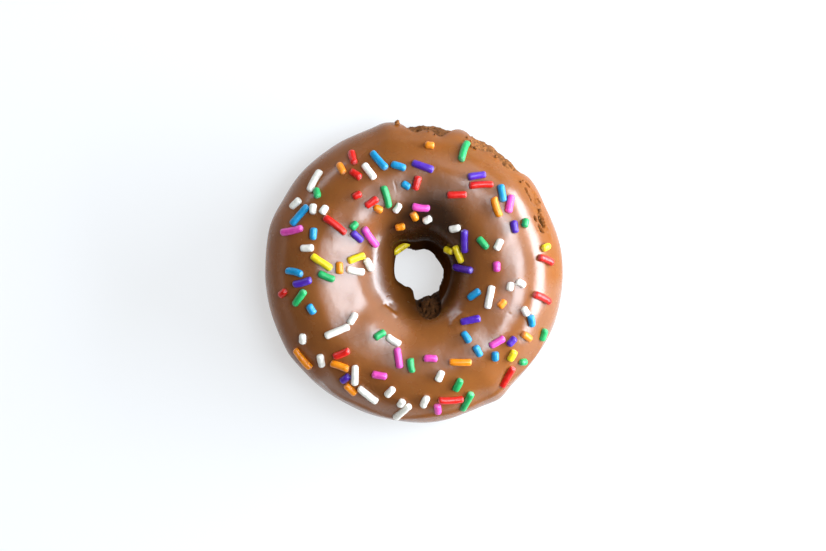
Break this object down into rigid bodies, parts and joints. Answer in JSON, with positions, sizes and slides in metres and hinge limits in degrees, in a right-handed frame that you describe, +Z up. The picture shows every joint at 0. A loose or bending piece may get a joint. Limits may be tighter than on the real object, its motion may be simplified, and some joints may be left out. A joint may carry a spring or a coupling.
{
  "type": "chocolate doughnut",
  "caption": "Chocolate ring doughnut with a flat underside and a funnel-shaped hole, covered on top by a skin of glossy chocolate icing strewn with sugar strands.",
  "frame": {"origin": "middle of the flat underside, on the surface that the doughnut stands on", "axes": "+Z up, through the hole; +Y towards the side where the icing leaves the widest stretch of cake bare; +X to the right of it, seen from above"},
  "size_m": [0.0815, 0.0824, 0.0314],
  "materials": {
    "cake": "dry, open chocolate crumb",
    "icing": "set milk-chocolate icing, glossy, with sugar strands in bright colours"
  },
  "bodies": {
    "root": {"cake_ring": "cake", "icing": "icing"}
  },
  "joints": []
}
